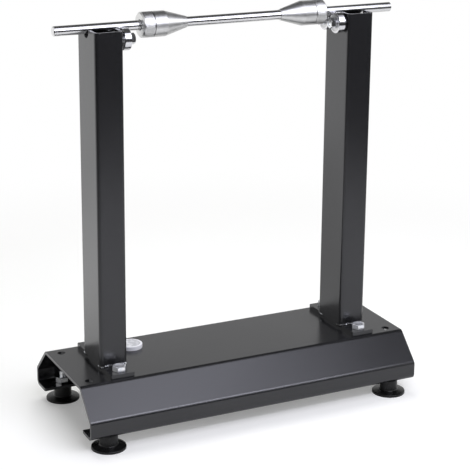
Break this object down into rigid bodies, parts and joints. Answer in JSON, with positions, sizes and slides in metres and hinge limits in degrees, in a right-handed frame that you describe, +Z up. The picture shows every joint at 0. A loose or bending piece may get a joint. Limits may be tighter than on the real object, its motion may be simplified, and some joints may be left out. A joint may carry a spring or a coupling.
{
  "type": "motorcycle wheel balancer",
  "caption": "Static wheel balancer: a black folded-steel base with square posts whose bearing pairs carry a ground rod with centring cones, on levelling feet.",
  "frame": {"origin": "on the bench, under the middle of the base", "axes": "+X along the base and the rod, to the right seen from the front; +Y to the back; +Z up"},
  "size_m": [0.383, 0.172, 0.4305],
  "materials": {
    "black_powder_coat": "satin black powder coat, very fine texture",
    "zinc_plate": "bright zinc plate",
    "rod_chrome": "ground and hard chromed, bright",
    "turned_aluminium": "fine turned, with a fine knurl on the rings",
    "collet_brass": "turned",
    "bearing_steel": "ground and polished bearing steel",
    "bearing_shield": "pressed sheet steel",
    "foot_plastic": "black moulded plastic, satin",
    "level_white": "white moulded cup",
    "level_clear": "clear polished disc",
    "level_fluid": "clear pale liquid with a bubble"
  },
  "bodies": {
    "stand": {"base_tray": "black_powder_coat", "foot_nuts": "zinc_plate", "level_cup": "level_white", "level_lens": "level_clear", "level_fluid": "level_fluid", "left_post": "black_powder_coat", "left_foot_plate": "black_powder_coat", "left_plate_bolts": "zinc_plate", "left_plate_washers": "zinc_plate", "left_plate_nuts": "zinc_plate", "left_bearing_bolts": "zinc_plate", "left_bearing_spacers": "zinc_plate", "left_bearing_washers": "zinc_plate", "left_bearing_nuts": "zinc_plate", "left_front_inner_ring": "bearing_steel", "left_rear_inner_ring": "bearing_steel", "right_post": "black_powder_coat", "right_foot_plate": "black_powder_coat", "right_plate_bolts": "zinc_plate", "right_plate_washers": "zinc_plate", "right_plate_nuts": "zinc_plate", "right_bearing_bolts": "zinc_plate", "right_bearing_spacers": "zinc_plate", "right_bearing_washers": "zinc_plate", "right_bearing_nuts": "zinc_plate", "right_front_inner_ring": "bearing_steel", "right_rear_inner_ring": "bearing_steel"},
    "rod": {"rod": "rod_chrome"},
    "left_cone": {"left_cone": "turned_aluminium", "left_collet": "collet_brass"},
    "left_lock_ring": {"left_lock_ring": "turned_aluminium"},
    "left_front_roller": {"left_front_outer_ring": "bearing_steel", "left_front_shields": "bearing_shield"},
    "left_front_balls": {"left_front_ball_cage": "bearing_steel"},
    "left_front_foot": {"left_front_foot_pad": "foot_plastic", "left_front_foot_stud": "zinc_plate"},
    "left_rear_roller": {"left_rear_outer_ring": "bearing_steel", "left_rear_shields": "bearing_shield"},
    "left_rear_balls": {"left_rear_ball_cage": "bearing_steel"},
    "left_rear_foot": {"left_rear_foot_pad": "foot_plastic", "left_rear_foot_stud": "zinc_plate"},
    "right_cone": {"right_cone": "turned_aluminium", "right_collet": "collet_brass"},
    "right_lock_ring": {"right_lock_ring": "turned_aluminium"},
    "right_front_roller": {"right_front_outer_ring": "bearing_steel", "right_front_shields": "bearing_shield"},
    "right_front_balls": {"right_front_ball_cage": "bearing_steel"},
    "right_front_foot": {"right_front_foot_pad": "foot_plastic", "right_front_foot_stud": "zinc_plate"},
    "right_rear_roller": {"right_rear_outer_ring": "bearing_steel", "right_rear_shields": "bearing_shield"},
    "right_rear_balls": {"right_rear_ball_cage": "bearing_steel"},
    "right_rear_foot": {"right_rear_foot_pad": "foot_plastic", "right_rear_foot_stud": "zinc_plate"}
  },
  "joints": [
    {"name": "rod_spin", "type": "hinge", "parent": "stand", "child": "rod", "pos_m": [0, 0, 0.4175], "axis": [1, 0, 0], "continuous": true},
    {"name": "left_cone_slide", "type": "slide", "parent": "rod", "child": "left_cone", "axis": [1, 0, 0], "range_m": [-0.01, 0.044]},
    {"name": "left_lock_ring_turn", "type": "hinge", "parent": "left_cone", "child": "left_lock_ring", "pos_m": [-0.1, 0, 0.4175], "axis": [-1, 0, 0], "range_deg": [0, 180]},
    {"name": "left_front_roller_spin", "type": "hinge", "parent": "stand", "child": "left_front_roller", "pos_m": [-0.1208, -0.012, 0.40677], "axis": [1, 0, 0], "continuous": true},
    {"name": "left_front_balls_spin", "type": "hinge", "parent": "stand", "child": "left_front_balls", "pos_m": [-0.1208, -0.012, 0.40677], "axis": [1, 0, 0], "continuous": true},
    {"name": "left_front_foot_height", "type": "slide", "parent": "stand", "child": "left_front_foot", "axis": [0, 0, 1], "range_m": [-0.007, 0]},
    {"name": "left_rear_roller_spin", "type": "hinge", "parent": "stand", "child": "left_rear_roller", "pos_m": [-0.1208, 0.012, 0.40677], "axis": [1, 0, 0], "continuous": true},
    {"name": "left_rear_balls_spin", "type": "hinge", "parent": "stand", "child": "left_rear_balls", "pos_m": [-0.1208, 0.012, 0.40677], "axis": [1, 0, 0], "continuous": true},
    {"name": "left_rear_foot_height", "type": "slide", "parent": "stand", "child": "left_rear_foot", "axis": [0, 0, 1], "range_m": [-0.007, 0]},
    {"name": "right_cone_slide", "type": "slide", "parent": "rod", "child": "right_cone", "axis": [1, 0, 0], "range_m": [-0.052, 0.0018]},
    {"name": "right_lock_ring_turn", "type": "hinge", "parent": "right_cone", "child": "right_lock_ring", "pos_m": [0.1, 0, 0.4175], "axis": [1, 0, 0], "range_deg": [0, 180]},
    {"name": "right_front_roller_spin", "type": "hinge", "parent": "stand", "child": "right_front_roller", "pos_m": [0.1208, -0.012, 0.40677], "axis": [1, 0, 0], "continuous": true},
    {"name": "right_front_balls_spin", "type": "hinge", "parent": "stand", "child": "right_front_balls", "pos_m": [0.1208, -0.012, 0.40677], "axis": [1, 0, 0], "continuous": true},
    {"name": "right_front_foot_height", "type": "slide", "parent": "stand", "child": "right_front_foot", "axis": [0, 0, 1], "range_m": [-0.007, 0]},
    {"name": "right_rear_roller_spin", "type": "hinge", "parent": "stand", "child": "right_rear_roller", "pos_m": [0.1208, 0.012, 0.40677], "axis": [1, 0, 0], "continuous": true},
    {"name": "right_rear_balls_spin", "type": "hinge", "parent": "stand", "child": "right_rear_balls", "pos_m": [0.1208, 0.012, 0.40677], "axis": [1, 0, 0], "continuous": true},
    {"name": "right_rear_foot_height", "type": "slide", "parent": "stand", "child": "right_rear_foot", "axis": [0, 0, 1], "range_m": [-0.007, 0]}
  ],
  "couplings": [
    {"joint": "left_front_roller_spin", "follows": "rod_spin", "ratio": -0.45454},
    {"joint": "left_front_balls_spin", "follows": "rod_spin", "ratio": -0.29156},
    {"joint": "left_rear_roller_spin", "follows": "rod_spin", "ratio": -0.45454},
    {"joint": "left_rear_balls_spin", "follows": "rod_spin", "ratio": -0.29156},
    {"joint": "right_front_roller_spin", "follows": "rod_spin", "ratio": -0.45454},
    {"joint": "right_front_balls_spin", "follows": "rod_spin", "ratio": -0.29156},
    {"joint": "right_rear_roller_spin", "follows": "rod_spin", "ratio": -0.45454},
    {"joint": "right_rear_balls_spin", "follows": "rod_spin", "ratio": -0.29156}
  ]
}
